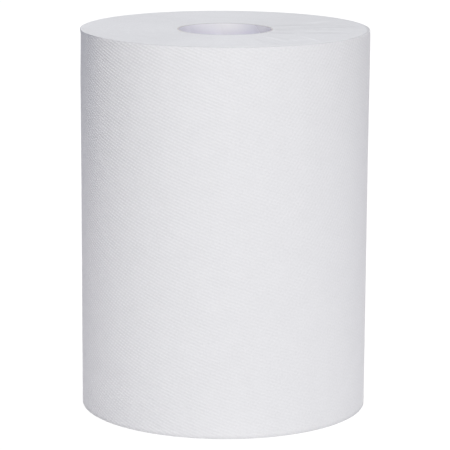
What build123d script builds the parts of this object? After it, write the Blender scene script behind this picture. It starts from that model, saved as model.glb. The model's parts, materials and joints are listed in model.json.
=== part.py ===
from build123d import *
import math
import os

# A hard roll of embossed paper towel, standing on its end.
# Millimetres. The origin is the centre of the roll's lower end, and +Z runs up the core.

# Driving dimensions
sheet_width = 203.0  # the paper web's width, which is the roll's height on its end
roll_diameter = 153.0  # across the wound paper, beside the sheet's free end
core_bore = 48.9  # inside of the board tube
core_wall = 0.95  # thickness of the board
sheet_lip = 0.3  # step that the sheet's free end makes on the turn below it
free_end_angle = 128.0  # degrees about +Z from +X, on the side away from the front
rim_bevel = 0.6  # the cut edges of the outer turns are pressed over a little
band_width = 3.3  # radial width of a band of turns that slipped together in winding
band_step = 0.2  # how far every second band lies below its neighbours on each end
band_margin = 3.0  # flat paper left beside the core and beside the rim
arcs_per_turn = 4  # arcs that make up one turn of a spiral

# Sizes that follow from them
roll_radius = roll_diameter / 2
core_radius = core_bore / 2
wound_radius = core_radius + core_wall  # the paper is wound straight on to the core
arc_sweep = 360.0 / arcs_per_turn
band_pitch = 2 * band_width
first_band_radius = wound_radius + band_margin
last_band_radius = roll_radius - band_margin
band_turns = int((last_band_radius - band_width - first_band_radius) / band_pitch)


def direction(angle):
    """The unit vector at an angle in degrees about +Z."""
    return Vector(math.cos(math.radians(angle)), math.sin(math.radians(angle)))


def spiral(first_radius, pitch, turns, start_angle):
    """Arcs of a spiral about +Z, from the inside out, as (centre, radius, start angle).

    Each arc's centre steps back along the last radius by as much as the radius grows, so
    the arcs meet in line.
    """
    growth = pitch / arcs_per_turn
    centre = Vector(0, 0)
    radius = first_radius
    angle = start_angle
    arcs = []
    for _ in range(turns * arcs_per_turn):
        arcs.append((centre, radius, angle))
        angle += arc_sweep
        centre = centre - direction(angle) * growth
        radius += growth
    return arcs


def draw(arcs, offset=0.0):
    """Draws a spiral's arcs in the open line builder, moved outwards by an offset."""
    for centre, radius, angle in arcs:
        CenterArc(centre, radius + offset, angle, arc_sweep)


def ends(arcs, offset=0.0):
    """The first and last points of a spiral that is moved outwards by an offset."""
    first_centre, first_radius, first_angle = arcs[0]
    last_centre, last_radius, last_angle = arcs[-1]
    first = first_centre + direction(first_angle) * (first_radius + offset)
    last = last_centre + direction(last_angle + arc_sweep) * (last_radius + offset)
    return first, last


# The board core: a plain tube as long as the web is wide
with BuildPart() as core_tube:
    with BuildSketch() as core_section:
        Circle(wound_radius)
        Circle(core_radius, mode=Mode.SUBTRACT)
    extrude(amount=sheet_width)

# The wound paper: its outside is one turn of a shallow spiral that ends in the sheet's lip
outer_turn = spiral(roll_radius, sheet_lip, 1, free_end_angle)
band_arcs = spiral(first_band_radius, band_pitch, band_turns, free_end_angle)

with BuildPart() as paper_roll:
    # Each arc of the outer turn carries the roll's section round its own centre
    for centre, radius, angle in outer_turn:
        radial_plane = Plane(origin=centre, x_dir=direction(angle), z_dir=direction(angle - 90))
        with BuildSketch(radial_plane) as wound_section:
            Rectangle(radius, sheet_width, align=(Align.MIN, Align.MIN))
            chamfer(wound_section.vertices().sort_by(Axis.X)[-2:], rim_bevel)
        revolve(axis=Axis(centre, (0, 0, 1)), revolution_arc=arc_sweep)

    # The space that the core fills
    with BuildSketch() as core_space:
        Circle(wound_radius)
    extrude(amount=sheet_width, mode=Mode.SUBTRACT)

    # The turns on both cut ends: one band in two, following the spiral of the winding
    for end_plane in (Plane.XY, Plane.XY.offset(sheet_width - band_step)):
        with BuildSketch(end_plane) as band:
            with BuildLine() as band_outline:
                draw(band_arcs)
                draw(band_arcs, band_width)
                inner_start, inner_end = ends(band_arcs)
                outer_start, outer_end = ends(band_arcs, band_width)
                Line(inner_start, outer_start)
                Line(inner_end, outer_end)
            make_face()
        extrude(amount=band_step, mode=Mode.SUBTRACT)

paper_roll.part.label = "paper_roll"
core_tube.part.label = "core_tube"

os.makedirs("parts", exist_ok=True)
export_step(paper_roll.part, "parts/paper_roll.step")
export_step(core_tube.part, "parts/core_tube.step")
print(f"{band_turns} turns of the band spiral, volume {paper_roll.part.volume / 1e6:.4f} l of paper")
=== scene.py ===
import json
import math

import bmesh
import bpy
from bpy.props import FloatProperty, FloatVectorProperty, IntProperty, PointerProperty
from mathutils import Matrix, Vector, noise


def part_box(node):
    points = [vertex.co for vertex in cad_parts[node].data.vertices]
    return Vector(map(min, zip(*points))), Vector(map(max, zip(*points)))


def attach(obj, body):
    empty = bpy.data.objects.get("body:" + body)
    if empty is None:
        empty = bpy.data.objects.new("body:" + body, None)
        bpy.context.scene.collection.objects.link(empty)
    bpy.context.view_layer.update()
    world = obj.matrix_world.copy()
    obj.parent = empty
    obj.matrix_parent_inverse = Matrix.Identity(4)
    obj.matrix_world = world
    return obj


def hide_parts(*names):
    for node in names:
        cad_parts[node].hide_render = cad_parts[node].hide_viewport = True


bl_info = {
    "name": "Paper Towel Roll",
    "version": (1, 0, 0),
    "blender": (4, 5, 0),
    "location": "3D View > Sidebar > Towel Roll",
    "description": "Winds an embossed paper towel roll on its board core and lights it in a plain studio",
    "category": "Object",
}

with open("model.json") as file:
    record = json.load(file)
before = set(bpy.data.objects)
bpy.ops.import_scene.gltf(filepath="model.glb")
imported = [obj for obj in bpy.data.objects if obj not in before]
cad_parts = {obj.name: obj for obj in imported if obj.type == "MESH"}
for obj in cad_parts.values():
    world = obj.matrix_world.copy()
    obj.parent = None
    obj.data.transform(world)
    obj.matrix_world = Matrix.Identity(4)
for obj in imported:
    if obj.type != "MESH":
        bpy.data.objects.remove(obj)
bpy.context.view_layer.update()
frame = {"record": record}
PAPER_LOW, PAPER_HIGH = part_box("paper_roll")
_, CORE_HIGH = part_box("core_tube")
BORE_MOUNT = next(mount for mount in frame["record"]["mounts"] if mount["name"] == "core_bore")

MM = 0.001
FULL_TURN = 2 * math.pi
# Shorter than any edge of a section, and longer than any edge of its rounded corners
NEAR = 0.01 * MM
LONG = 10 * MM
# Angle about the axis of the side that faces the viewer
FRONT = math.radians(270)
# How far the upper end lies below its own rim beside the core
END_DISH = 0.5 * MM


# Sizes and colours that a user would change

class WoundPaperSettings(bpy.types.PropertyGroup):
    """The wound web of towel"""
    height: FloatProperty(
        name="Web width", description="Width of the paper, which is the roll's height on its end",
        default=PAPER_HIGH.z, unit="LENGTH")
    radius: FloatProperty(
        name="Radius", description="From the axis to the outer turn, just past the sheet's free end",
        default=-PAPER_LOW.x - 0.09 * MM, unit="LENGTH")
    inner_radius: FloatProperty(
        name="Inner radius", description="From the axis to the innermost turn, on the core",
        default=CORE_HIGH.x, unit="LENGTH")
    free_end: FloatProperty(
        name="Free end", description="Angle about the axis at which the sheet ends",
        default=math.radians(128), unit="ROTATION")
    lip: FloatProperty(
        name="Lip", description="Step from the sheet's free end to the turn below",
        default=0.3 * MM, unit="LENGTH")
    taper: FloatProperty(
        name="Taper", description="How much smaller the radius is over the lower half than at the top",
        default=0.24 * MM, unit="LENGTH", precision=6)
    dish: FloatProperty(
        name="Dish", description="How far the upper end lies below its rim at the core",
        default=END_DISH, unit="LENGTH", precision=6)
    sheet_thickness: FloatProperty(
        name="Sheet thickness", description="Thickness of the cut edge that shows at the free end",
        default=0.16 * MM, unit="LENGTH")
    rim: FloatProperty(
        name="Rim", description="Radius to which the outer turns are pressed over at both ends",
        default=0.3 * MM, unit="LENGTH")
    band_pitch: FloatProperty(
        name="Band pitch", description="Growth of the band spiral in one turn",
        default=6.6 * MM, unit="LENGTH")
    band_start: FloatProperty(
        name="Band start", description="Radius at which the band spiral starts",
        default=CORE_HIGH.x + 3 * MM, unit="LENGTH")
    band_depth: FloatProperty(
        name="Band depth", description="How far every second band of turns lies below its neighbours",
        default=0.04 * MM, unit="LENGTH", precision=6)
    band_turns: IntProperty(
        name="Band turns", description="Turns of the band spiral", default=6)
    columns: IntProperty(
        name="Columns", description="Steps round the roll", default=512)
    emboss_depth: FloatProperty(
        name="Emboss depth", description="Height of the pressed pattern from trough to crest",
        default=0.1 * MM, unit="LENGTH", precision=6)
    # Painted shade: the pattern's troughs are painted darker than its crests
    emboss_shade: FloatProperty(
        name="Emboss shade", description="How much darker the pattern's troughs are than its crests",
        default=0.1, subtype="FACTOR", min=0.0, max=1.0)
    # The pattern's painted shade is strongest on this side too, where the light rakes across it
    emboss_side: FloatProperty(
        name="Emboss side", description="Angle about the axis of the side that is embossed deepest",
        default=math.radians(217), unit="ROTATION")
    # Here the rising lines' painted shade turns over, with their bump, as the light falls across them
    # from the other side
    emboss_turnover: FloatProperty(
        name="Emboss turnover", description="Angle on from there at which the rising lines turn over",
        default=math.radians(48), unit="ROTATION")
    # Painted light and shade: crease ridges are painted lighter and furrows darker
    crease_shade: FloatProperty(
        name="Crease shade", description="How much lighter an end is where a crease stands 1 mm high",
        default=0.4, min=0.0, max=1.0)
    face_colour: FloatVectorProperty(
        name="Face colour", description="Colour of the towel's face", subtype="COLOR",
        default=(0.813, 0.816, 0.821))
    cut_colour: FloatVectorProperty(
        name="Cut colour", description="Colour of the cut edges on both ends", subtype="COLOR",
        default=(0.784, 0.796, 0.805))


class BoardCoreSettings(bpy.types.PropertyGroup):
    """The board tube"""
    height: FloatProperty(
        name="Length", description="Length of the tube, which ends at the bottom of the upper dish",
        default=CORE_HIGH.z - END_DISH, unit="LENGTH")
    outer_radius: FloatProperty(
        name="Outer radius", description="Radius that the paper is wound on",
        default=CORE_HIGH.x, unit="LENGTH")
    bore_radius: FloatProperty(
        name="Bore radius", description="Inner radius of the tube",
        default=BORE_MOUNT["dims"]["r_mm"] * MM, unit="LENGTH")
    edge: FloatProperty(
        name="Edge", description="Wear on the tube's cut edges", default=0.15 * MM, unit="LENGTH")
    seam_pitch: FloatProperty(
        name="Seam pitch", description="Climb of the ply seam in one turn",
        default=160 * MM, unit="LENGTH")
    seam_width: FloatProperty(
        name="Seam width", description="Gap between two turns of the inner ply",
        default=0.7 * MM, unit="LENGTH")
    seam_depth: FloatProperty(
        name="Seam depth", description="Thickness of the inner ply", default=0.22 * MM, unit="LENGTH")
    seam_angle: FloatProperty(
        name="Seam angle", description="Angle about the axis at which the seam meets the upper end",
        default=math.radians(50), unit="ROTATION")
    columns: IntProperty(name="Columns", description="Steps round the tube", default=256)
    liner_colour: FloatVectorProperty(
        name="Liner colour", description="Colour of the smooth inner ply", subtype="COLOR",
        default=(0.803, 0.793, 0.853))
    # Painted light: the bore is painted lighter towards both ends, where more light falls in
    mouth_light_colour: FloatVectorProperty(
        name="Mouth colour", description="Colour of the inner ply beside both ends", subtype="COLOR",
        default=(0.916, 0.913, 0.927))
    board_colour: FloatVectorProperty(
        name="Board colour", description="Colour of the board on the tube's cut edge", subtype="COLOR",
        default=(0.64, 0.62, 0.61))


class StudioSettings(bpy.types.PropertyGroup):
    """Floor, lamps and camera"""
    lens: FloatProperty(name="Lens", description="Focal length on a 36 mm sensor", default=200.43)
    camera_distance: FloatProperty(
        name="Camera distance", description="Level distance from the roll's axis",
        default=1.3157, unit="LENGTH")
    camera_height: FloatProperty(
        name="Camera height", description="Height above the floor", default=0.3699, unit="LENGTH")
    camera_pitch: FloatProperty(
        name="Camera pitch", description="How far the camera looks down",
        default=math.radians(11.727), unit="ROTATION")
    camera_turn: FloatProperty(
        name="Camera turn", description="How far the camera looks to the left of the axis",
        default=math.radians(-0.0226), unit="ROTATION")
    camera_roll: FloatProperty(
        name="Camera roll", description="Turn of the camera about its own line of sight",
        default=math.radians(0.3245), unit="ROTATION")
    room: FloatProperty(name="Room light", description="Even light from all sides", default=0.185)
    front: FloatProperty(name="Front lamp", description="Power of the front lamp", default=29.1)
    top: FloatProperty(name="Top lamp", description="Power of the high lamp on the right", default=5.3)
    side: FloatProperty(name="Side lamp", description="Power of the lamp on the far right", default=8.4)
    back: FloatProperty(name="Back lamp", description="Power of the back lamp", default=23.5)
    # The floor's glow near the roll is painted light: it lights the roll though it is no lamp
    floor_glow: FloatProperty(
        name="Floor glow", description="Brightness that the floor near the roll adds to its bounce",
        default=0.21)


# Helpers for meshes

def smooth_step(value):
    """0 below 0, 1 above 1 and a soft curve between."""
    value = min(max(value, 0.0), 1.0)
    return value * value * (3 - 2 * value)


def wave(position, scale, seed):
    """Even noise from -1 to 1 that changes over the length scale."""
    return noise.noise(Vector(position) / scale + Vector((seed, 2 * seed, 3 * seed)))


def about_axis(radius, angle, height):
    """The place at a radius and an angle about the axis."""
    return Vector((radius * math.cos(angle), radius * math.sin(angle), height))


def draw_section(bm, inner_radius, outer_radius, height):
    """Draws a ring's section as a closed wire, in the half-plane of +X."""
    corners = [bm.verts.new((radius, 0, z)) for radius, z in (
        (inner_radius, 0), (inner_radius, height), (outer_radius, height), (outer_radius, 0))]
    for first, second in zip(corners, corners[1:] + corners[:1]):
        bm.edges.new((first, second))


def round_corners(bm, corners, radius, segments):
    """Rounds some corners of the section."""
    bmesh.ops.bevel(
        bm, geom=corners, offset=radius, offset_type="OFFSET", segments=segments, profile=0.5,
        affect="VERTICES", material=-1)


def cut_edges(bm, chosen, count):
    """Divides each edge of the section that is chosen into count equal parts."""
    edges = [edge for edge in bm.edges if chosen(*(vertex.co for vertex in edge.verts))]
    bmesh.ops.subdivide_edges(bm, edges=edges, cuts=count - 1)


def turn_section(bm, columns):
    """Turns the section once about the axis, open at the cut, and keeps each vertex's home.

    A home is (radius in the section, angle from the cut, height in the section). The last
    column has an angle of a full turn. Returns the home layer and the last column's edges.
    A sixteenth is spun, and copies of it are turned and welded on until the ring is whole.
    """
    home = bm.verts.layers.float_vector.new("home")
    for vertex in bm.verts:
        vertex[home] = vertex.co
    step = FULL_TURN / columns
    sector = FULL_TURN / 16
    bmesh.ops.spin(
        bm, geom=bm.verts[:] + bm.edges[:], cent=(0, 0, 0), axis=(0, 0, 1), dvec=(0, 0, 0),
        angle=sector, steps=columns // 16, use_merge=False, use_normal_flip=False, use_duplicate=False)
    for vertex in bm.verts:
        vertex[home].y = step * round(math.atan2(vertex.co.y, vertex.co.x) / step)
    while sector < FULL_TURN - step:
        copied = bmesh.ops.duplicate(bm, geom=bm.verts[:] + bm.edges[:] + bm.faces[:])["geom"]
        moved = [item for item in copied if isinstance(item, bmesh.types.BMVert)]
        bmesh.ops.rotate(bm, verts=moved, cent=(0, 0, 0), matrix=Matrix.Rotation(sector, 3, "Z"))
        for vertex in moved:
            vertex[home].y += sector
        joint = [vertex for vertex in bm.verts if abs(vertex[home].y - sector) < 0.5 * step]
        bmesh.ops.remove_doubles(bm, verts=joint, dist=0.001 * MM)
        sector *= 2
    last = [edge for edge in bm.edges if all(v[home].y > FULL_TURN - 0.5 * step for v in edge.verts)]
    return home, last


def add_object(name, data):
    """An object in the scene for a mesh, a lamp or a camera."""
    made = bpy.data.objects.new(name, data)
    bpy.context.scene.collection.objects.link(made)
    return made


def add_mesh(bm, name, materials):
    """An object in the scene with the mesh and its materials."""
    mesh = bpy.data.meshes.new(name)
    bm.to_mesh(mesh)
    bm.free()
    for material in materials:
        mesh.materials.append(material)
    return add_object(name, mesh)


def finish_piece(bm, name, materials):
    """Welds the mesh, marks its sharp edges and makes it a piece that rides on the roll."""
    bmesh.ops.remove_doubles(bm, verts=bm.verts[:], dist=0.002 * MM)
    bmesh.ops.dissolve_degenerate(bm, edges=bm.edges[:], dist=0.001 * MM)
    bmesh.ops.recalc_face_normals(bm, faces=bm.faces[:])
    for face in bm.faces:
        face.smooth = True
    for edge in bm.edges:
        if len(edge.link_faces) == 2:
            edge.smooth = edge.calc_face_angle(0.0) < math.radians(40)
    piece = add_mesh(bm, name, materials)
    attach(piece, "root")
    return piece


# Looks of the materials

PAPER_ROUGHNESS = 0.95
BOARD_ROUGHNESS = 0.8
SPECULAR = 0.25
FELT_HEIGHT = 0.02 * MM

# Waves in a metre of the emboss's two families of lines: along the web, then across it
FALLING_LINES = (211.0, 574.0)
RISING_LINES = (418.0, -309.0)

# How deep the rising lines are pressed at most, and both families all over the far side, in bump and in
# painted shade
RISING_DEPTH = -0.28
FAR_FALLING = 0.36
FAR_RISING = -0.24

# Gain in each channel of the painted shade on the drawn-in side under the upper rim
DRAWN_IN_SHADE_GAINS = (-0.1, -0.09, -0.075)

# Towards the side of the ends where streaks run outwards
STREAK_SIDE = (0.71, -0.71, 0.0)

# Painted light and shade on sides of the ends, as turns that lean a little would show: direction,
# narrowness and gain in tone
END_SIDE_LIGHT_AND_SHADE = (
    ((0.0, -1.0, 0.0), 8.0, 0.06), ((0.0, 1.0, 0.0), 8.0, 0.03), ((-1.0, 0.0, 0.0), 6.0, 0.028),
    ((0.85, 0.53, 0.0), 2.0, -0.03), (STREAK_SIDE, 6.0, 0.02),
)

# Sides of the bore with painted light and shade of their own: direction, narrowness and gain in each
# channel
BORE_LIGHT_AND_SHADE = (
    ((-1.0, 0.0, 0.0), 1.2, (-0.11, -0.11, -0.06)), ((0.59, 0.81, 0.0), 31.0, (-0.08, -0.08, -0.04)),
    ((0.0, 1.0, 0.0), 60.0, (0.03, 0.03, 0.015)), ((1.0, 0.0, 0.0), 8.0, (0.11, 0.1, 0.15)),
)


# Helpers for materials

def fill_inputs(tree, node, inputs):
    """Sets a node's inputs to values, or links other nodes' outputs to them."""
    for key, value in inputs.items():
        if isinstance(value, bpy.types.NodeSocket):
            tree.links.new(value, node.inputs[key])
        else:
            node.inputs[key].default_value = value


def add_node(tree, kind, inputs=None, **settings):
    """A node whose inputs are values or other nodes' outputs."""
    made = tree.nodes.new(kind)
    for key, value in settings.items():
        setattr(made, key, value)
    fill_inputs(tree, made, inputs or {})
    return made


def calculate(tree, operation, *values):
    """One arithmetic node."""
    return add_node(tree, "ShaderNodeMath", dict(enumerate(values)), operation=operation).outputs[0]


def multiply(tree, first, *others):
    """The product of all the values."""
    for other in others:
        first = calculate(tree, "MULTIPLY", first, other)
    return first


def multiply_add(tree, value, factor, addend):
    """The value times the factor, plus the addend."""
    return calculate(tree, "MULTIPLY_ADD", value, factor, addend)


def calculate_vector(tree, operation, *values, **named):
    """The outputs of one vector arithmetic node."""
    inputs = {**dict(enumerate(values)), **named}
    return add_node(tree, "ShaderNodeVectorMath", inputs, operation=operation).outputs


def ramp(tree, value, start, stop, low=0.0, high=1.0, soft=False):
    """Goes from low at start to high at stop, and stays level outside them."""
    return add_node(
        tree, "ShaderNodeMapRange",
        {"Value": value, "From Min": start, "From Max": stop, "To Min": low, "To Max": high},
        interpolation_type="SMOOTHSTEP" if soft else "LINEAR").outputs[0]


def blend(tree, first, second, share):
    """From the first value to the second by a share from 0 to 1."""
    return multiply_add(tree, calculate(tree, "SUBTRACT", second, first), share, first)


def uneven(tree, place, scale, detail, roughness=0.5):
    """Noise from about -0.5 to 0.5."""
    found = add_node(tree, "ShaderNodeTexNoise", {
        "Vector": place, "Scale": scale, "Detail": detail, "Roughness": roughness})
    return calculate(tree, "SUBTRACT", found.outputs["Fac"], 0.5)


def flatten(tree, place):
    """The place without its height."""
    return calculate_vector(tree, "MULTIPLY", place, (1.0, 1.0, 0.0))[0]


def side_share(tree, aim, side, narrowness):
    """1 where the unit vector points to a side, and less the further it turns away."""
    facing = calculate_vector(tree, "DOT_PRODUCT", aim, side)["Value"]
    return calculate(tree, "POWER", calculate(tree, "MAXIMUM", facing, 0.0), narrowness)


def depth_inside(tree, height, full_height):
    """How far a height lies inside the nearer end."""
    return calculate(tree, "MINIMUM", height, calculate(tree, "SUBTRACT", full_height, height))


def tint(tree, colour, *tones):
    """A colour made lighter or darker by tones round 1."""
    return calculate_vector(tree, "SCALE", tuple(colour), Scale=multiply(tree, *tones))[0]


def fade(tree, colour, share, gains):
    """A colour with a gain in each channel, by a share from 0 to 1."""
    gained = calculate_vector(tree, "SCALE", gains, Scale=share)[0]
    return calculate_vector(tree, "MULTIPLY_ADD", colour, gained, colour)[0]


def new_group(name, *amounts):
    """An empty shader group that makes a tone and a height from a place and some amounts.

    Returns the tree, the group's inputs and its output node.
    """
    tree = bpy.data.node_groups.new(name, "ShaderNodeTree")
    tree.interface.new_socket("Vector", in_out="INPUT", socket_type="NodeSocketVector")
    for amount in amounts:
        tree.interface.new_socket(amount, in_out="INPUT", socket_type="NodeSocketFloat")
    for result in ("Tone", "Height"):
        tree.interface.new_socket(result, in_out="OUTPUT", socket_type="NodeSocketFloat")
    return tree, tree.nodes.new("NodeGroupInput").outputs, tree.nodes.new("NodeGroupOutput")


def place_group(tree, name, inputs):
    """The outputs of a copy of a group in a material."""
    return add_node(tree, "ShaderNodeGroup", inputs, node_tree=bpy.data.node_groups[name]).outputs


def new_material(name):
    """A material with only its shader; returns the material and its tree."""
    material = bpy.data.materials.new(name)
    material.use_nodes = True
    return material, material.node_tree


def finish_material(material, roughness, colour, raised):
    """Feeds the colour and, as bump, the raised height in metres to the shader."""
    tree = material.node_tree
    bump = add_node(tree, "ShaderNodeBump", {"Strength": 1.0, "Distance": 1.0, "Height": raised})
    fill_inputs(tree, tree.nodes["Principled BSDF"], {
        "Base Color": colour, "Roughness": roughness, "Specular IOR Level": SPECULAR,
        "Normal": bump.outputs[0]})
    return material


# Effects, as shader groups

def make_fibre_group():
    """Loose pulp fibres: a cloudy tone and a fine uneven height."""
    tree, given, out = new_group("Pulp fibres", "Cloud", "Height")
    clouded = uneven(tree, given["Vector"], scale=90.0, detail=3.0, roughness=0.6)
    felted = uneven(tree, given["Vector"], scale=900.0, detail=2.0, roughness=0.7)
    both = multiply_add(tree, clouded, 0.3, felted)
    fill_inputs(tree, out, {
        "Tone": multiply_add(tree, both, given["Cloud"], 1.0),
        "Height": multiply(tree, felted, given["Height"])})


def make_emboss_group():
    """The pressed pattern: two families of lines whose crossings stand up as dots.

    The vector is the place on the flat web in metres: along the web, then across it.
    Troughs are painted darker than crests by the shade, as painted shade of the relief.
    """
    tree, given, out = new_group("Pressed dots", "Falling", "Rising", "Depth", "Shade")
    # The lines wander by up to a fifth of a wave
    drifting = uneven(tree, given["Vector"], scale=30.0, detail=1.0)
    drift_turns = 0.4
    place = add_node(tree, "ShaderNodeSeparateXYZ", {"Vector": given["Vector"]}).outputs

    def family(lines_per_metre, depth):
        along, across = lines_per_metre
        turns = multiply(tree, place["X"], along)
        turns = multiply_add(tree, place["Y"], across, turns)
        turns = multiply_add(tree, drifting, drift_turns, turns)
        return multiply(tree, calculate(tree, "COSINE", multiply(tree, turns, FULL_TURN)), depth)

    falling = family(FALLING_LINES, given["Falling"])
    rising = family(RISING_LINES, given["Rising"])
    lines = calculate(tree, "ADD", falling, rising)
    height = multiply_add(tree, multiply(tree, falling, rising), 1.4, lines)
    # The press has bitten less in some patches
    patches = uneven(tree, given["Vector"], scale=110.0, detail=2.0)
    height = multiply(tree, height, ramp(tree, patches, -0.2, 0.12, low=0.6))
    fill_inputs(tree, out, {
        "Tone": multiply_add(tree, height, given["Shade"], 1.0),
        "Height": multiply(tree, height, given["Depth"])})


def make_turns_group():
    """The cut turns of the web: rings round the axis in tone and height.

    The vector is the place in the object in metres.
    """
    tree, given, out = new_group("Cut turns", "Tone", "Height")
    flat = flatten(tree, given["Vector"])
    length = calculate_vector(tree, "LENGTH", flat)["Value"]
    aim = calculate_vector(tree, "NORMALIZE", flat)[0]

    def rings(per_metre, round_scale, detail):
        depth = add_node(tree, "ShaderNodeCombineXYZ", {"Z": multiply(tree, length, per_metre)})
        spot = calculate_vector(
            tree, "MULTIPLY_ADD", aim, (round_scale, round_scale, 0.0), depth.outputs[0])[0]
        return uneven(tree, spot, scale=1.0, detail=detail, roughness=0.65)

    wide = rings(per_metre=280.0, round_scale=2.2, detail=2.0)
    fine = rings(per_metre=1900.0, round_scale=7.0, detail=2.0)
    both = multiply_add(tree, fine, 0.8, wide)
    # Streaks that run outwards over one side, where the turns were dragged a little
    streaks = rings(per_metre=40.0, round_scale=26.0, detail=3.0)
    facing = calculate_vector(tree, "DOT_PRODUCT", aim, STREAK_SIDE)["Value"]
    streaks = multiply(tree, streaks, ramp(tree, facing, -0.1, 0.5, low=0.15))
    both = multiply_add(tree, streaks, 1.4, both)
    tone = multiply_add(tree, both, given["Tone"], 1.0)
    # Painted light and shade on some sides of the ends
    for side, narrowness, gain in END_SIDE_LIGHT_AND_SHADE:
        tone = multiply_add(tree, side_share(tree, aim, side, narrowness), gain, tone)
    fill_inputs(tree, out, {"Tone": tone, "Height": multiply(tree, both, given["Height"])})


def place_fibres(tree, place, cloud):
    """Pulp fibres on a paper or board surface."""
    return place_group(tree, "Pulp fibres", {"Vector": place, "Cloud": cloud, "Height": FELT_HEIGHT})


# Materials

def facing_share(tree, angle):
    """1 where the angle is 0, and 0 half a turn on."""
    return multiply_add(tree, calculate(tree, "COSINE", angle), 0.5, 0.5)


def press_and_shade_depths(tree, turnover, off_side, from_front, height):
    """How deep the falling and the rising lines are pressed, as shares of the emboss depth; their painted
    shade goes with it, and both follow how the light falls round the roll.

    The turnover and off_side are angles from the side that is embossed deepest, from_front is
    the same place's angle from the front. Below 0, a family's crests are its troughs.
    """
    # The falling lines and their painted shade fade from the deepest side on, to almost nothing half a
    # turn away, as the light across them falls off
    nearness = facing_share(tree, off_side)
    least, gained, narrowness = 0.05, 0.46, 4.0
    falling = multiply_add(tree, calculate(tree, "POWER", nearness, narrowness), gained, least)
    # Towards the top they and their painted shade are deeper still on a narrow side
    higher = ramp(tree, height, 70 * MM, 165 * MM, high=1.2)
    beside = facing_share(tree, calculate(tree, "ADD", off_side, math.radians(5)))
    narrow = calculate(tree, "POWER", beside, 30.0)
    falling = multiply(tree, falling, multiply_add(tree, narrow, higher, 1.0))
    # Near the top they and their painted shade come back further round
    near_top = ramp(tree, height, 130 * MM, 180 * MM, high=0.1)
    far_round = ramp(tree, off_side, math.radians(92), math.radians(108), soft=True)
    falling = multiply_add(tree, near_top, far_round, falling)
    # The rising lines and their painted shade are at their faintest where they turn over, as the light
    # crosses them from the other side, and deeper higher up
    swing = calculate(tree, "SINE", calculate(tree, "SUBTRACT", off_side, turnover))
    climbing = ramp(tree, height, 40 * MM, 120 * MM, low=0.2, high=0.78)
    squared = multiply(tree, calculate(tree, "POWER", nearness, 2.0), 1.25)
    rising = multiply(
        tree, swing, RISING_DEPTH, calculate(tree, "MAXIMUM", squared, climbing),
        multiply_add(tree, near_top, 2.4, 1.0))
    # Both are fainter ahead of the deepest side, and even all over the far side, in bump and in painted
    # shade
    before = ramp(tree, off_side, math.radians(-29), math.radians(-13), low=0.3)
    far = ramp(tree, calculate(tree, "COSINE", from_front), 0.05, -0.3, soft=True)
    return [
        blend(tree, multiply(tree, lines, before), even, far)
        for lines, even in ((falling, FAR_FALLING), (rising, FAR_RISING))]


def drawn_in_shade_share(tree, settings, off_side, height):
    """How much painted shade the drawn-in side shows: none below half height, most at the rim."""
    under_rim = ramp(tree, height, settings.height - 2.0 * MM, settings.height - 1.0 * MM, high=0.5)
    high = ramp(tree, height, 95 * MM, 195 * MM)
    near_edge = ramp(tree, off_side, math.radians(-1), math.radians(-15), soft=True)
    far_edge = ramp(tree, off_side, math.radians(-65), math.radians(-35), soft=True)
    return multiply(tree, near_edge, far_edge, calculate(tree, "ADD", high, under_rim))


def towel_face_material(settings):
    """The embossed face of the towel, placed by the web's own flat coordinates."""
    material, tree = new_material("towel_face")
    web = add_node(tree, "ShaderNodeUVMap", uv_map="web").outputs["UV"]
    fibres = place_fibres(tree, web, 0.16)
    along, height = add_node(tree, "ShaderNodeSeparateXYZ", {"Vector": web}).outputs[:2]
    turned = calculate(tree, "DIVIDE", along, settings.radius)
    off_side = calculate(tree, "SUBTRACT", turned, settings.emboss_side - settings.free_end)
    from_front = calculate(tree, "SUBTRACT", off_side, FRONT - settings.emboss_side)
    falling, rising = press_and_shade_depths(tree, settings.emboss_turnover, off_side, from_front, height)
    rubbed = ramp(tree, depth_inside(tree, height, settings.height), 0.2 * MM, 1.2 * MM, low=0.3)
    dots = place_group(tree, "Pressed dots", {
        "Vector": web, "Falling": multiply(tree, falling, rubbed),
        "Rising": multiply(tree, rising, rubbed),
        "Depth": settings.emboss_depth, "Shade": settings.emboss_shade})
    # Both edges are painted a little darker, as painted shade where the rims round over, and the drawn-in
    # side has painted shade too
    lower = ramp(tree, height, 0.0, 2.2 * MM, low=0.87)
    upper = ramp(tree, height, settings.height - 0.6 * MM, settings.height, low=1.0, high=0.95)
    # The left and the right are painted a little lighter at half height, as painted light
    share = calculate(tree, "DIVIDE", height, settings.height)
    middle = multiply(tree, share, calculate(tree, "SUBTRACT", 1.0, share))
    across = calculate(tree, "SINE", from_front)
    painted_side_light = multiply_add(tree, middle, multiply(tree, across, across, 0.16), 1.0)
    colour = tint(tree, settings.face_colour, fibres["Tone"], dots["Tone"], lower, upper, painted_side_light)
    # Painted shade on the drawn-in upper left side
    colour = fade(tree, colour, drawn_in_shade_share(tree, settings, off_side, height), DRAWN_IN_SHADE_GAINS)
    raised = calculate(tree, "ADD", dots["Height"], fibres["Height"])
    return finish_material(material, PAPER_ROUGHNESS, colour, raised)


def towel_cut_material(settings):
    """The cut edges of all the turns, on both ends."""
    material, tree = new_material("towel_cut_edges")
    place = add_node(tree, "ShaderNodeTexCoord").outputs["Object"]
    fibres = place_fibres(tree, place, 0.14)
    turns = place_group(tree, "Cut turns", {"Vector": place, "Tone": 0.05, "Height": 0.03 * MM})
    # The creases are painted lighter on their ridges and darker in their furrows, as painted light and
    # shade
    crease = add_node(tree, "ShaderNodeAttribute", attribute_name="crease").outputs["Fac"]
    crease_light_and_shade = multiply_add(tree, crease, settings.crease_shade, 1.0)
    colour = tint(tree, settings.cut_colour, fibres["Tone"], turns["Tone"], crease_light_and_shade)
    raised = calculate(tree, "ADD", fibres["Height"], turns["Height"])
    return finish_material(material, PAPER_ROUGHNESS, colour, raised)


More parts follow.
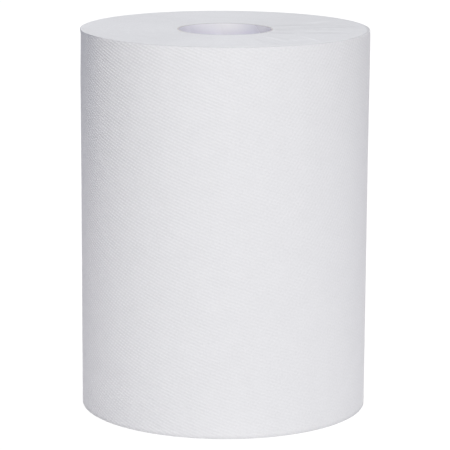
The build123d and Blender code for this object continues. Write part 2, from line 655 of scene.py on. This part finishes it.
def liner_material(settings):
    """The smooth inner ply, painted lighter beside both mouths of the tube, as painted light where more
    light falls into the bore.
    """
    material, tree = new_material("core_liner")
    place = add_node(tree, "ShaderNodeTexCoord").outputs["Object"]
    fibres = place_fibres(tree, place, 0.04)
    height = add_node(tree, "ShaderNodeSeparateXYZ", {"Vector": place}).outputs["Z"]
    inside = depth_inside(tree, height, settings.height)
    mouth = ramp(tree, inside, 1.5 * MM, 6.0 * MM, low=1.0, high=0.0)
    paler = Vector(settings.mouth_light_colour) - Vector(settings.liner_colour)
    colour = tint(tree, settings.liner_colour, fibres["Tone"])
    colour = calculate_vector(tree, "MULTIPLY_ADD", tuple(paler), mouth, colour)[0]
    aim = calculate_vector(tree, "NORMALIZE", flatten(tree, place))[0]
    # Painted light and shade on the sides of the bore
    for side, narrowness, gains in BORE_LIGHT_AND_SHADE:
        colour = fade(tree, colour, side_share(tree, aim, side, narrowness), gains)
    return finish_material(material, BOARD_ROUGHNESS, colour, fibres["Height"])


def board_material(settings):
    """The grey board on the tube's cut ends."""
    material, tree = new_material("core_cut_board")
    place = add_node(tree, "ShaderNodeTexCoord").outputs["Object"]
    fibres = place_fibres(tree, place, 0.12)
    colour = tint(tree, settings.board_colour, fibres["Tone"])
    return finish_material(material, BOARD_ROUGHNESS, colour, fibres["Height"])


# The wound paper

# Creases where the turns have buckled on the upper end, in mm on the end face: the ends of
# each crease as (x, y), its half-width, and its height, which is below 0 for a furrow.
CREASES = (
    ((43.0, 23.0), (56.5, 33.5), 2.4, 0.20),
    ((28.5, 9.8), (41.0, 12.3), 1.6, 0.12),
    ((47.0, 2.5), (64.0, 2.5), 1.6, 0.10),
    ((38.5, -5.2), (48.0, -6.4), 1.3, 0.14),
    ((40.5, -9.0), (63.5, -9.0), 2.0, 0.20),
    ((16.0, -24.5), (31.0, -51.5), 1.0, 0.22),
    ((38.5, -29.0), (48.3, -52.5), 1.0, 0.24),
    ((32.3, -39.0), (37.0, -49.0), 0.9, 0.15),
    ((26.3, 16.4), (56.0, 18.5), 2.0, -0.12),
    ((52.0, 18.0), (71.0, 11.0), 2.0, -0.10),
    ((34.5, 4.8), (72.0, 7.6), 1.8, -0.11),
    ((20.0, 12.5), (40.0, 20.0), 2.4, -0.12),
    ((20.0, -0.2), (37.0, -1.8), 3.4, -0.17),
    ((20.5, -11.5), (37.0, -17.5), 2.8, -0.19),
    ((40.5, -15.0), (64.5, -16.6), 1.9, -0.19),
    ((22.0, -27.0), (33.5, -44.0), 1.3, -0.12),
    ((13.0, -31.0), (20.0, -58.0), 1.2, -0.10),
    ((17.5, -45.0), (28.5, -65.0), 1.1, -0.15),
)
# Room for the creases to stand up within the roll's height
CREASE_ROOM = 0.2 * MM

# Small nicks in the upper rim: angle about the axis in degrees, half-width and depth in mm
RIM_NICKS = (
    (204.0, 15.0, 0.3), (201.0, 1.5, 0.55), (209.2, 1.0, 0.5), (211.4, 0.9, 0.35), (213.4, 1.0, 0.45),
    (221.0, 0.9, 0.2), (328.9, 1.6, 0.5), (331.0, 2.2, 0.2),
)

# Round rows of the ends beside the rim, as distances from its rounded edge in mm
RIM_ROW_GAPS = (1.6, 1.2, 0.8, 0.4, 0.0)

# Painted highlight and shade on those rows of the upper end, in mm of crease: middle and reach of a
# side in degrees, then the tone of each row from the inside out
RIM_LIGHT_AND_SHADE = (
    (180.0, 22.0, (0.0, -0.02, -0.04, 0.02, 0.08)), (226.0, 42.0, (0.0, 0.02, 0.08, 0.16, 0.22)),
    (318.0, 55.0, (0.0, -0.03, -0.06, -0.1, -0.16)), (350.0, 26.0, (-0.1, -0.14, -0.24, -0.36, -0.49)))

# Middle, reach and depth of the side on which the outer turn is drawn in under the upper rim
NECK_ANGLE = math.radians(186)
NECK_REACH = math.radians(38)
NECK_DEPTH = 0.35 * MM

# How far the outer turn lifts off the one below beside the free end
FREE_END_LIFT = 0.35 * MM

# Wear of the lower rim as a share of the upper rim's
LOWER_RIM_WEAR = 0.4

ROWS_PER_PITCH = 7
WALL_ROWS = 44


def angle_between(first, second):
    """The smaller angle between two directions round the axis."""
    return abs(math.remainder(first - second, FULL_TURN))


def neck_share(angle):
    """1 in the middle of the drawn-in side, and 0 beyond its reach."""
    return smooth_step(1 - angle_between(angle, NECK_ANGLE) / NECK_REACH)


def crease_relief(x, y):
    """Height of the creases in metres at a place on the upper end, in mm."""
    total = 0.0
    for start, end, half_width, height in CREASES:
        start, end, place = Vector(start), Vector(end), Vector((x, y))
        run = end - start
        share = (place - start).dot(run) / run.length_squared
        if not 0 < share < 1:
            continue
        # A crease bows aside a little and runs out softly at both ends
        arch = math.sin(math.pi * share)
        aside = (place - start).cross(run) / run.length + 0.03 * run.length * arch
        total += height * math.exp(-((aside / half_width) ** 2)) * arch ** 0.7
    return total * MM


class Winding:
    """Places each point of the turned ring where the wound web has it."""

    def __init__(self, settings):
        self.paper = settings
        self.edge_radius = settings.radius - settings.rim
        self.rings = [self.edge_radius - gap * MM for gap in RIM_ROW_GAPS]
        first = (settings.inner_radius - settings.band_start) / settings.band_pitch - 1
        last = (self.rings[0] - settings.band_start) / settings.band_pitch
        low, high = (round(end * ROWS_PER_PITCH) for end in (math.floor(first), math.ceil(last)))
        self.rows = [row / ROWS_PER_PITCH for row in range(low, high + 1)]
        self.row_count = len(self.rows) + len(self.rings) - 1

    def face_radius(self, row, turn):
        """Radius of a row of the end faces, which follows the spiral between both rims."""
        if row >= len(self.rows):
            return self.rings[row - len(self.rows)]
        radius = self.paper.band_start + self.paper.band_pitch * (self.rows[row] + turn)
        return min(max(radius, self.paper.inner_radius), self.rings[0])

    def band_relief(self, radius, turn):
        """How far the bands lie below the ends' planes."""
        slope, run_out = 0.2, 0.12  # of a pitch beside a band, of a turn at the spiral's ends
        pitches = (radius - self.paper.band_start) / self.paper.band_pitch - turn
        whole = math.floor(pitches + 0.25)
        along = whole + turn
        if not 0 < along < self.paper.band_turns:
            return 0.0
        share = pitches - whole
        low = min(smooth_step(share / slope + 0.5), smooth_step((0.5 - share) / slope + 0.5))
        ends = min(smooth_step(along / run_out), smooth_step((self.paper.band_turns - along) / run_out))
        return self.paper.band_depth * low * ends

    def end_relief(self, radius, turn, upper):
        """How far a point of an end lies inside the end's plane."""
        angle = turn * FULL_TURN + self.paper.free_end
        x, y = radius * math.cos(angle), radius * math.sin(angle)
        spot = (x, y, 0.0 if upper else 1.0)
        from_edge = self.edge_radius - radius
        inside = smooth_step(min(radius - self.paper.inner_radius, from_edge) / (1.5 * MM))
        relief = self.band_relief(radius, turn)
        relief += inside * 0.03 * MM * (1 + wave(spot, 9 * MM, 5))
        if upper:
            relief += inside * (CREASE_ROOM - crease_relief(x / MM, y / MM))
            relief += self.paper.dish * from_edge / (self.edge_radius - self.paper.inner_radius)
        # Here and there the turns beside the rim have parted
        parted = smooth_step(1 - abs(from_edge - 0.8 * MM) / (0.6 * MM))
        relief += 0.2 * MM * parted * max(0.0, wave(spot, 28 * MM, 9) + 0.35)
        return max(relief, 0.0)

    def wall_growth(self, turn, height):
        """How far the outer turn lies outside the roll's radius."""
        below = self.paper.height - height
        around = turn * FULL_TURN * self.paper.radius
        left = FULL_TURN * self.paper.radius - around
        lift = smooth_step(1 - left / (14 * MM)) ** 2
        slack = 0.5 + 0.5 * wave((0, 0, height), 45 * MM, 11)
        ends = smooth_step(height / (8 * MM)) * smooth_step(below / (8 * MM))
        neck = neck_share(turn * FULL_TURN + self.paper.free_end)
        neck *= smooth_step(below / (3 * MM)) * smooth_step(1 - below / (30 * MM))
        return self.paper.lip * turn + FREE_END_LIFT * lift * slack * ends - NECK_DEPTH * neck

    def slimming(self, radius, height):
        """How far the taper draws a point in, in proportion to the paper wound below it."""
        wound = (radius - self.paper.inner_radius) / (self.paper.radius - self.paper.inner_radius)
        return self.paper.taper * wound * smooth_step((1 - height / self.paper.height) / 0.45)

    def rim_wear(self, turn, upper):
        """How far the rim is pressed in: a soft wave and a few frayed places."""
        angle = turn * FULL_TURN + self.paper.free_end
        spot = about_axis(self.paper.radius, angle, 0.05 if upper else 0.0)
        worn = 0.05 * MM * (1 + wave(spot, 11 * MM, 3)) + 0.06 * MM * (1 + wave(spot, 2.2 * MM, 7))
        if not upper:
            return LOWER_RIM_WEAR * worn
        # Over the drawn-in side the rim is sharper and stands out
        neck = neck_share(angle)
        worn = worn * (1 - 0.8 * neck) - 0.07 * MM * neck
        for middle, half_width, depth in RIM_NICKS:
            off = angle_between(angle, math.radians(middle)) * self.paper.radius
            worn += depth * MM * smooth_step(1 - off / (half_width * MM))
        return worn

    def rim_light_and_shade(self, angle, row):
        """How much painted highlight or shade the round rows beside the rim add to the creases' tone, in
        mm.
        """
        ring = row - len(self.rows)
        total = 0.0
        for middle, reach, tones in RIM_LIGHT_AND_SHADE if ring >= 0 else ():
            aside = angle_between(angle + self.paper.free_end, math.radians(middle))
            total += tones[ring] * smooth_step(2 - 2 * aside / math.radians(reach))
        return total

    def place(self, radius, angle, height, row):
        """The wound place of a home; row is the end row that it lies on, or None."""
        turn = angle / FULL_TURN
        upper = height > self.paper.height / 2
        inward = -1 if upper else 1
        if row is not None:
            radius = self.face_radius(row, turn)
            height += inward * self.end_relief(radius, turn, upper)
        elif radius > self.edge_radius:
            from_end = min(height, self.paper.height - height)
            worn = self.rim_wear(turn, upper) * smooth_step(1 - from_end / (3 * MM))
            from_edge = smooth_step((radius - self.edge_radius) / (0.3 * self.paper.rim))
            height += inward * max(worn, 0.0) * from_edge * smooth_step(1 - from_end / self.paper.rim)
            radius += self.wall_growth(turn, height) - worn
        radius -= self.slimming(radius, height)
        return about_axis(radius, angle + self.paper.free_end, height)

    def slit_place(self, radius, height, row, column):
        """A place of the free end: the sheet's cut edge, then the slit under it.

        The slit's first column lies back under the sheet, its last on the turn below.
        """
        sheet = self.place(radius, FULL_TURN, height, row)
        below = self.place(radius, 0.0, height, row)
        thickness = self.paper.sheet_thickness
        edge = thickness / max((sheet - below).length, thickness)
        spot = sheet.lerp(below, (edge, 0.92, 1.0)[column])
        if column == 1:
            from_end = min(height, self.paper.height - height)
            opened = smooth_step((from_end - self.paper.rim) / (5 * MM))
            spot = Matrix.Rotation(-2.5 * MM / self.paper.radius * opened, 3, "Z") @ spot
        return spot


def turn_paper(settings, winding):
    """The turned ring of the paper; returns the mesh, its home layer and its last edges."""
    bm = bmesh.new()
    draw_section(bm, settings.inner_radius, settings.radius, settings.height)
    corners = [vertex for vertex in bm.verts if vertex.co.x > winding.edge_radius]
    round_corners(bm, corners, settings.rim, segments=4)
    cut_edges(bm, lambda a, b: abs(a.z - b.z) < NEAR and abs(a.x - b.x) > LONG, winding.row_count)
    cut_edges(
        bm, lambda a, b: min(a.x, b.x) > settings.radius - NEAR and abs(a.z - b.z) > LONG, WALL_ROWS)
    home, cut = turn_section(bm, settings.columns)
    # The wall's rows lie closer together towards both rims
    wall_height = settings.height - 2 * settings.rim
    for vertex in bm.verts:
        share = (vertex[home].z - settings.rim) / wall_height
        if vertex[home].x > settings.radius - NEAR and 0 < share < 1:
            share = 0.2 * share + 0.8 * (0.5 - 0.5 * math.cos(math.pi * share))
            vertex[home].z = settings.rim + wall_height * share
    return bm, home, cut


def wind_paper(settings):
    """Turns the section of the wound paper and winds it into its spiral."""
    winding = Winding(settings)
    bm, home, cut = turn_paper(settings, winding)
    crease = bm.verts.layers.float.new("crease")
    spacing = (winding.edge_radius - settings.inner_radius) / winding.row_count

    def end_row(vertex):
        flat = min(vertex[home].z, settings.height - vertex[home].z) < NEAR
        return round((vertex[home].x - settings.inner_radius) / spacing) if flat else None

    # Flat coordinates of the web, and the two finishes
    web = bm.loops.layers.uv.new("web")
    for face in bm.faces:
        face.material_index = int(all(end_row(vertex) is not None for vertex in face.verts))
        for loop in face.loops:
            place = loop.vert[home]
            loop[web].uv = (place.y * settings.radius, place.z)

    # The free end: the sheet's cut edge, then a slit under it that closes on the turn below
    outer = [edge for edge in cut if all(v[home].x > winding.edge_radius - NEAR for v in edge.verts)]
    slit_of = {}
    for column in range(3):
        outer = [
            item for item in bmesh.ops.extrude_edge_only(bm, edges=outer)["geom"]
            if isinstance(item, bmesh.types.BMEdge) and len(item.link_faces) == 1]
        slit_of.update((vertex, column) for edge in outer for vertex in edge.verts)

    for vertex in bm.verts:
        radius, angle, height = vertex[home]
        row = end_row(vertex)
        if vertex in slit_of:
            vertex.co = winding.slit_place(radius, height, row, slit_of[vertex])
            continue
        vertex.co = winding.place(radius, angle, height, row)
        # The crease attribute keeps the creases' height and the rim's painted highlight and shade, for
        # painted light and shade in the cut edges' colour
        if row is not None and height > settings.height / 2:
            vertex[crease] = crease_relief(vertex.co.x / MM, vertex.co.y / MM) / MM
            vertex[crease] += winding.rim_light_and_shade(angle, row)
    bm.verts.layers.float_vector.remove(home)
    return finish_piece(
        bm, "wound_paper", (towel_face_material(settings), towel_cut_material(settings)))


# The board core

def form_core(settings):
    """Turns the tube's section and shears its inner rows along the helix of the ply seam."""
    bm = bmesh.new()
    draw_section(bm, settings.bore_radius, settings.outer_radius, settings.height)
    round_corners(bm, bm.verts[:], settings.edge, segments=2)
    half_gap = 0.5 * settings.seam_width / settings.seam_pitch
    wall = 0.12 * half_gap
    # Rows of one pitch, as shares of it: four close rows make the seam's groove
    shares = (-half_gap - wall, -half_gap, half_gap, half_gap + wall) + tuple(n / 8 for n in range(1, 8))
    low, high = settings.edge, settings.height - settings.edge
    start = settings.height - settings.seam_pitch * settings.seam_angle / FULL_TURN
    first = math.floor((low - start) / settings.seam_pitch - 1)
    last = math.ceil((high - start) / settings.seam_pitch)
    rows = [pitch + share for pitch in range(first, last + 1) for share in shares]
    cut_edges(
        bm, lambda a, b: max(a.x, b.x) < settings.bore_radius + NEAR and abs(a.z - b.z) > LONG,
        len(rows) - 1)
    home, _ = turn_section(bm, settings.columns)
    spacing = (high - low) / (len(rows) - 1)

    def from_end(vertex):
        return min(vertex[home].z, settings.height - vertex[home].z)

    for face in bm.faces:
        face.material_index = int(all(from_end(vertex) < settings.edge + NEAR for vertex in face.verts))
    for vertex in bm.verts:
        radius, angle, height = vertex[home]
        if radius < settings.bore_radius + NEAR:
            row = rows[round((height - low) / spacing)]
            height = start + settings.seam_pitch * (row + angle / FULL_TURN)
            height = min(max(height, low), high)
            share = (height - start) / settings.seam_pitch - angle / FULL_TURN
            off_seam = abs(share - round(share))
            if off_seam < half_gap + 0.5 * wall:
                radius += settings.seam_depth
        elif from_end(vertex) < NEAR:
            ragged = wave((math.cos(angle), math.sin(angle), height), 0.05, 2)
            height += (-1 if height > NEAR else 1) * 0.04 * MM * (1 + ragged)
        vertex.co = about_axis(radius, angle, height)
    bm.verts.layers.float_vector.remove(home)
    return finish_piece(bm, "board_core", (liner_material(settings), board_material(settings)))


# The stage

FLOOR_RADIUS = 6.0
FLOOR_PAINT = (0.85, 0.85, 0.85, 1)
# What the camera sees of the floor: a glow just short of white, and a little paint for shadows
FLOOR_SHOWN_PAINT = (0.12, 0.12, 0.12, 1)
FLOOR_SHOWN_GLOW = 0.95
ROOM_COLOUR = (0.84, 0.8, 1.08, 1)
WHITE = (1, 1, 1, 1)


def light_path_mask(tree):
    """1 on rays that see the background itself: from the camera, or by gloss or through glass."""
    path = add_node(tree, "ShaderNodeLightPath").outputs
    seen = calculate(tree, "MAXIMUM", path["Is Camera Ray"], path["Is Glossy Ray"])
    return calculate(tree, "MAXIMUM", seen, path["Is Transmission Ray"])


def mix_by_path(tree, lighting, shown, output):
    """Feeds a stage surface to its output: how it lights the roll, and how it shows itself."""
    mixed = add_node(tree, "ShaderNodeMixShader", {0: light_path_mask(tree), 1: lighting, 2: shown})
    add_node(tree, output, {"Surface": mixed.outputs[0]})


def make_floor(settings):
    """A plain pale floor that shows white and keeps the roll's soft shadow; near the roll it glows a
    little, as painted light on the roll's lower sides.
    """
    material = bpy.data.materials.new("floor_white")
    material.use_nodes = True
    material.cycles.emission_sampling = "NONE"
    tree = material.node_tree
    tree.nodes.clear()

    def painted(colour, glow):
        paint = add_node(tree, "ShaderNodeBsdfDiffuse", {"Color": colour}).outputs[0]
        light = add_node(tree, "ShaderNodeEmission", {"Color": WHITE, "Strength": glow}).outputs[0]
        return add_node(tree, "ShaderNodeAddShader", {0: paint, 1: light}).outputs[0]

    place = add_node(tree, "ShaderNodeTexCoord").outputs["Object"]
    distance = calculate_vector(tree, "LENGTH", place)["Value"]
    # The floor near the roll glows for the light it sheds on the roll, as painted light
    near = ramp(tree, distance, 0.2, 0.4, low=settings.floor_glow, high=0.0)
    mix_by_path(
        tree, painted(FLOOR_PAINT, near), painted(FLOOR_SHOWN_PAINT, FLOOR_SHOWN_GLOW),
        "ShaderNodeOutputMaterial")
    bm = bmesh.new()
    bmesh.ops.create_circle(bm, cap_ends=True, segments=96, radius=FLOOR_RADIUS)
    floor = add_mesh(bm, "floor", (material,))


def make_world(settings):
    """Even light from all sides, with white behind the roll."""
    world = bpy.data.worlds.new("studio")
    world.use_nodes = True
    world.cycles.sampling_method = "NONE"
    bpy.context.scene.world = world
    tree = world.node_tree
    tree.nodes.clear()
    room = add_node(tree, "ShaderNodeBackground", {"Color": ROOM_COLOUR, "Strength": settings.room})
    white = add_node(tree, "ShaderNodeBackground", {"Color": WHITE, "Strength": 1.0})
    mix_by_path(tree, room.outputs[0], white.outputs[0], "ShaderNodeOutputWorld")


# Lamps round the roll: name, angle to the camera's right and angle above the floor, in degrees
LAMPS = (("front", 0, 30), ("top", 20, 60), ("side", 110, 25), ("back", 180, 40))
LAMP_DISTANCE = 2.2
LAMP_SIZE = 1.6
LAMP_COLOUR = (1.0, 1.0, 0.97)


def add_lamp(name, power, azimuth, elevation):
    """A large square lamp that faces the middle of the roll."""
    data = bpy.data.lights.new(name, "AREA")
    data.energy = power
    data.color = LAMP_COLOUR
    data.shape = "SQUARE"
    data.size = LAMP_SIZE
    lamp = add_object(name, data)
    away = Vector((
        math.sin(azimuth) * math.cos(elevation), -math.cos(azimuth) * math.cos(elevation),
        math.sin(elevation)))
    lamp.location = Vector((0, 0, PAPER_HIGH.z / 2)) + away * LAMP_DISTANCE
    lamp.rotation_mode = "QUATERNION"
    lamp.rotation_quaternion = away.to_track_quat("Z", "Y")


def make_camera(settings):
    """The camera at the photograph's viewing angle."""
    data = bpy.data.cameras.new("camera")
    data.lens = settings.lens
    data.sensor_width = 36.0
    data.clip_start = 0.05
    data.clip_end = 50.0
    camera = add_object("camera", data)
    turn = Matrix.Rotation(settings.camera_turn, 4, "Z")
    tilt = Matrix.Rotation(math.pi / 2 - settings.camera_pitch, 4, "X")
    roll = Matrix.Rotation(settings.camera_roll, 4, "Z")
    place = Matrix.Translation((0, -settings.camera_distance, settings.camera_height))
    camera.matrix_world = place @ turn @ tilt @ roll
    bpy.context.scene.camera = camera


# Operators and panel

class TOWEL_OT_paper(bpy.types.Operator):
    """Wind the embossed web with its bands, creases and free end"""
    bl_idname = "towel.wind_paper"
    bl_label = "Wind Paper"

    def execute(self, context):
        piece = wind_paper(context.scene.towel_paper)
        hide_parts("paper_roll")
        return {"FINISHED"}


class TOWEL_OT_core(bpy.types.Operator):
    """Form the board tube with its ply seam"""
    bl_idname = "towel.form_core"
    bl_label = "Form Core"

    def execute(self, context):
        piece = form_core(context.scene.towel_core)
        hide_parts("core_tube")
        return {"FINISHED"}


class TOWEL_OT_stage(bpy.types.Operator):
    """Set the floor, the lamps and the camera"""
    bl_idname = "towel.set_stage"
    bl_label = "Set Stage"

    def execute(self, context):
        settings = context.scene.towel_studio
        make_floor(settings)
        make_world(settings)
        for name, azimuth, elevation in LAMPS:
            power = getattr(settings, name)
            add_lamp(name + "_lamp", power, math.radians(azimuth), math.radians(elevation))
        make_camera(settings)
        context.scene.view_settings.view_transform = "Standard"
        return {"FINISHED"}


class TOWEL_PT_panel(bpy.types.Panel):
    bl_idname = "TOWEL_PT_panel"
    bl_label = "Towel Roll"
    bl_space_type = "VIEW_3D"
    bl_region_type = "UI"
    bl_category = "Towel Roll"

    def draw(self, context):
        for group, operator in (
                (context.scene.towel_paper, TOWEL_OT_paper), (context.scene.towel_core, TOWEL_OT_core),
                (context.scene.towel_studio, TOWEL_OT_stage)):
            box = self.layout.box()
            for name in group.__annotations__:
                box.prop(group, name)
            box.operator(operator.bl_idname)


CLASSES = (
    WoundPaperSettings, BoardCoreSettings, StudioSettings,
    TOWEL_OT_paper, TOWEL_OT_core, TOWEL_OT_stage, TOWEL_PT_panel)


def register():
    for made in CLASSES:
        bpy.utils.register_class(made)
    bpy.types.Scene.towel_paper = PointerProperty(type=WoundPaperSettings)
    bpy.types.Scene.towel_core = PointerProperty(type=BoardCoreSettings)
    bpy.types.Scene.towel_studio = PointerProperty(type=StudioSettings)


def unregister():
    del bpy.types.Scene.towel_studio
    del bpy.types.Scene.towel_core
    del bpy.types.Scene.towel_paper
    for made in reversed(CLASSES):
        bpy.utils.unregister_class(made)


def main():
    register()
    make_fibre_group()
    make_emboss_group()
    make_turns_group()
    bpy.ops.towel.wind_paper()
    bpy.ops.towel.form_core()
    bpy.ops.towel.set_stage()


if __name__ == "__main__":
    main()
